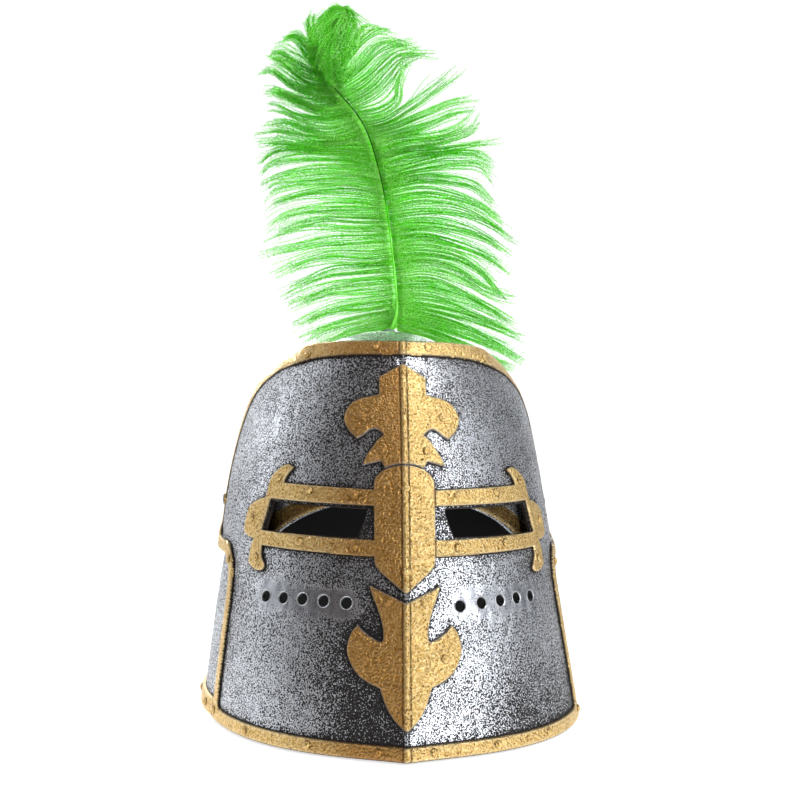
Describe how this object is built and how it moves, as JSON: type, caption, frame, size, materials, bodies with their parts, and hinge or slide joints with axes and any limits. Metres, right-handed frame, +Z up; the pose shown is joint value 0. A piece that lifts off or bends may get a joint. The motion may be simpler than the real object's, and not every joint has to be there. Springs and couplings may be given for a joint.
{
  "type": "great helm with plume",
  "caption": "Great helm: open-faced dome skull, keeled visor on temple pivots with eye slots and breath holes, raised trims, socketed plume.",
  "frame": {"origin": "on the surface the rim stands on, under the middle of the whole helm", "axes": "+Z up, the face looks along -Y, +X is the wearer's left"},
  "size_m": [0.2208, 0.2671, 0.4413],
  "materials": {
    "hammered_silver": "moulded plastic painted antique silver over a hammered grain, black left in the pits",
    "gold_trim": "moulded relief painted gold over a pebbled grain",
    "pivot_metal": "plain dull metal",
    "green_feather": "dyed ostrich feather, soft barbs"
  },
  "bodies": {
    "skull": {"skull_shell": "hammered_silver", "skull_face_band": "gold_trim", "skull_hem_band": "gold_trim", "pivot_left": "pivot_metal", "pivot_right": "pivot_metal", "plume_socket": "pivot_metal", "plume": "green_feather"},
    "visor": {"visor_plate": "hammered_silver", "visor_border": "gold_trim", "brow_fleur": "gold_trim", "nasal_plate": "gold_trim", "chin_fleur": "gold_trim", "eye_frame_left": "gold_trim", "eye_frame_right": "gold_trim"}
  },
  "joints": [
    {"name": "visor_lift", "type": "hinge", "parent": "skull", "child": "visor", "pos_m": [0, 0.0167, 0.122], "axis": [-1, 0, 0], "range_deg": [0, 45]}
  ]
}
